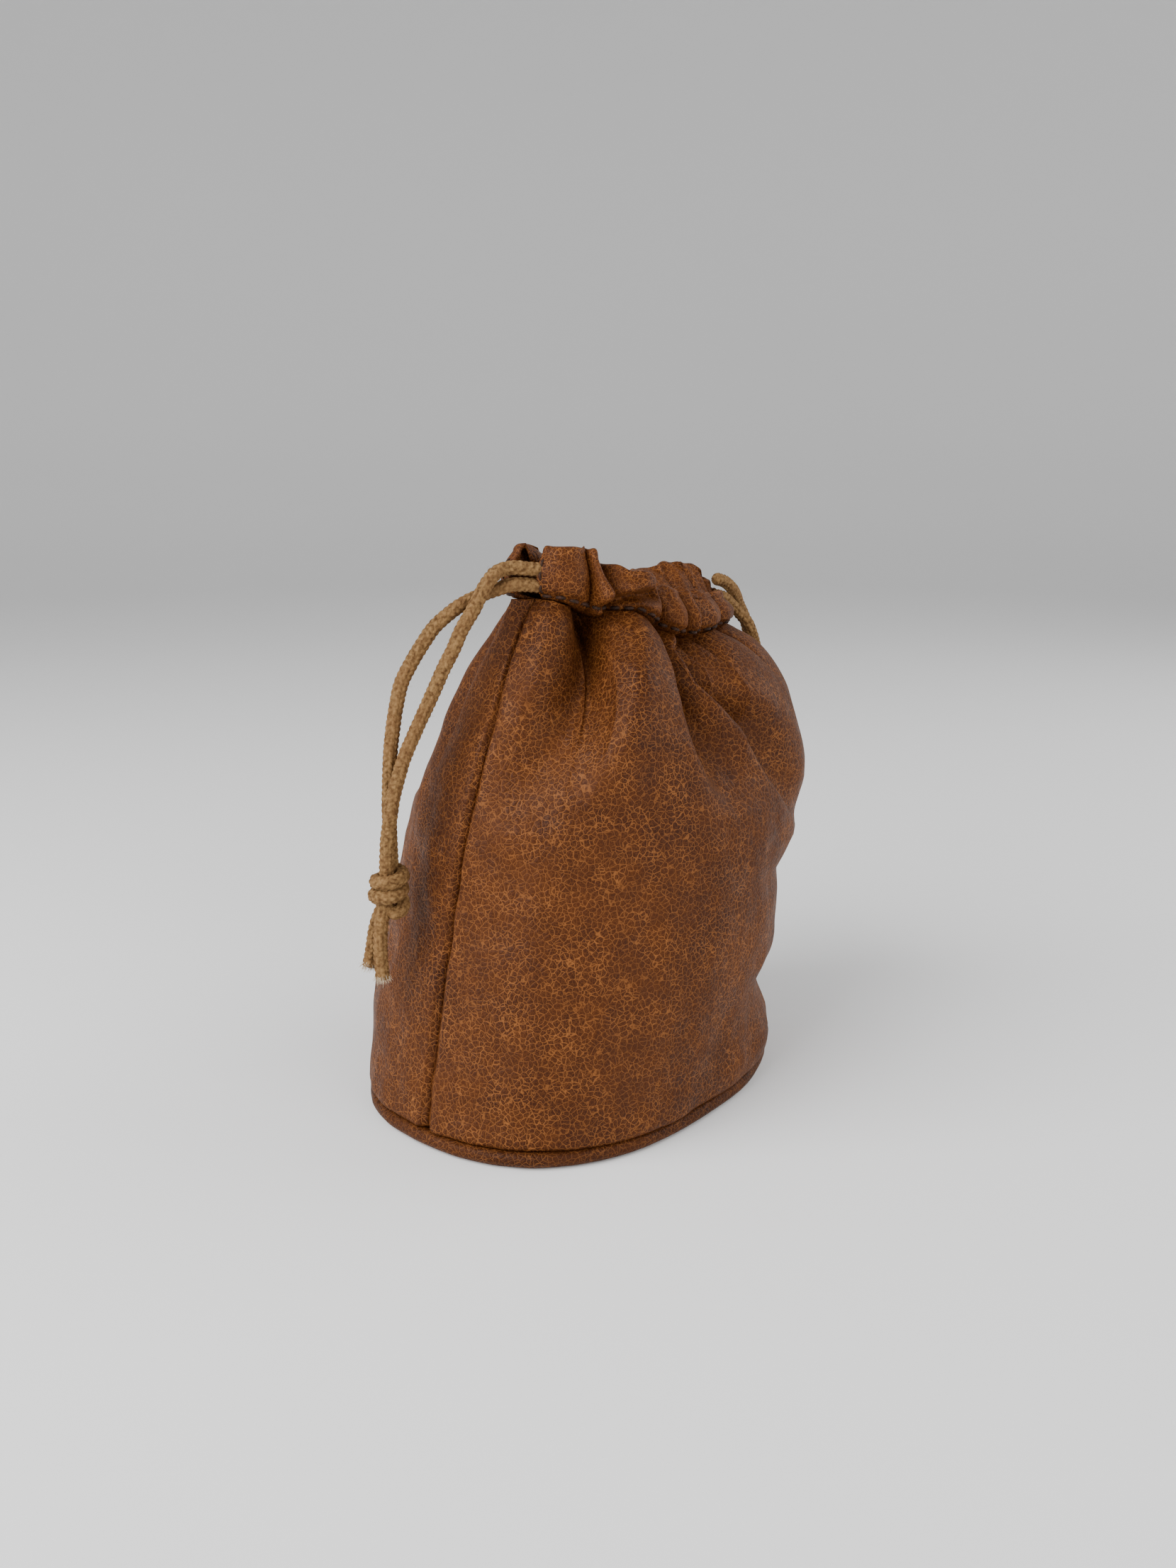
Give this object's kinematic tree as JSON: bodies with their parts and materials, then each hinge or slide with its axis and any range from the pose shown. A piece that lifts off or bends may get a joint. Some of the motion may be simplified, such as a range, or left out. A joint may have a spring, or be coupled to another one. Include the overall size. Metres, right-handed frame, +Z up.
{
  "type": "bucket bag",
  "caption": "Soft leather drawstring bucket bag on an oval base, its mouth gathered shut by braided cords that leave a slit at each side and hang down knotted.",
  "frame": {"origin": "centre of the bag's box on the surface it stands on, measured without the free cords; the oval base's own centre is 8.5 mm towards -X because the soft bag leans towards +X", "axes": "+Z up; X along the oval base, with one side seam and one cord at each end; the front panel faces -Y"},
  "size_m": [0.1661, 0.1202, 0.1741],
  "materials": {
    "leather": "waxed pull-up leather with a fine crackle, satin",
    "casing_leather": "the same leather, finer crackle, satin",
    "base_leather": "the same leather, a little darker, satin",
    "cord": "waxed cotton braid, matte",
    "thread": "dark brown waxed thread, satin"
  },
  "bodies": {
    "bag": {"base_panel": "base_leather", "front_panel": "leather", "back_panel": "leather", "front_casing": "casing_leather", "back_casing": "casing_leather", "left_side_seam_thread": "thread", "right_side_seam_thread": "thread", "base_seam_thread": "thread", "front_casing_seam_thread": "thread", "back_casing_seam_thread": "thread", "front_casing_left_hem_thread": "thread", "front_casing_right_hem_thread": "thread", "back_casing_left_hem_thread": "thread", "back_casing_right_hem_thread": "thread", "left_cord_casing_run": "cord", "right_cord_casing_run": "cord"},
    "left_cord_feed": {"left_cord_front_feed": "cord", "left_cord_back_feed": "cord"},
    "left_cord_hang": {"left_cord_front_strand": "cord", "left_cord_back_strand": "cord", "left_cord_knot": "cord", "left_cord_front_tail": "cord", "left_cord_back_tail": "cord"},
    "right_cord_feed": {"right_cord_front_feed": "cord", "right_cord_back_feed": "cord"},
    "right_cord_hang": {"right_cord_front_strand": "cord", "right_cord_back_strand": "cord", "right_cord_knot": "cord", "right_cord_front_tail": "cord", "right_cord_back_tail": "cord"}
  },
  "joints": [
    {"name": "left_cord_pull", "type": "slide", "parent": "bag", "child": "left_cord_feed", "axis": [-0.866, 0.5, 0], "range_m": [0, 0.005]},
    {"name": "left_cord_lift", "type": "hinge", "parent": "left_cord_feed", "child": "left_cord_hang", "pos_m": [-0.0394, -0.0029, 0.1668], "axis": [0.5, 0.866, 0], "range_deg": [0, 75]},
    {"name": "right_cord_pull", "type": "slide", "parent": "bag", "child": "right_cord_feed", "axis": [1, 0, 0], "range_m": [0, 0.005]},
    {"name": "right_cord_lift", "type": "hinge", "parent": "right_cord_feed", "child": "right_cord_hang", "pos_m": [0.0619, -0.0124, 0.1543], "axis": [0, -1, 0], "range_deg": [0, 75]}
  ]
}
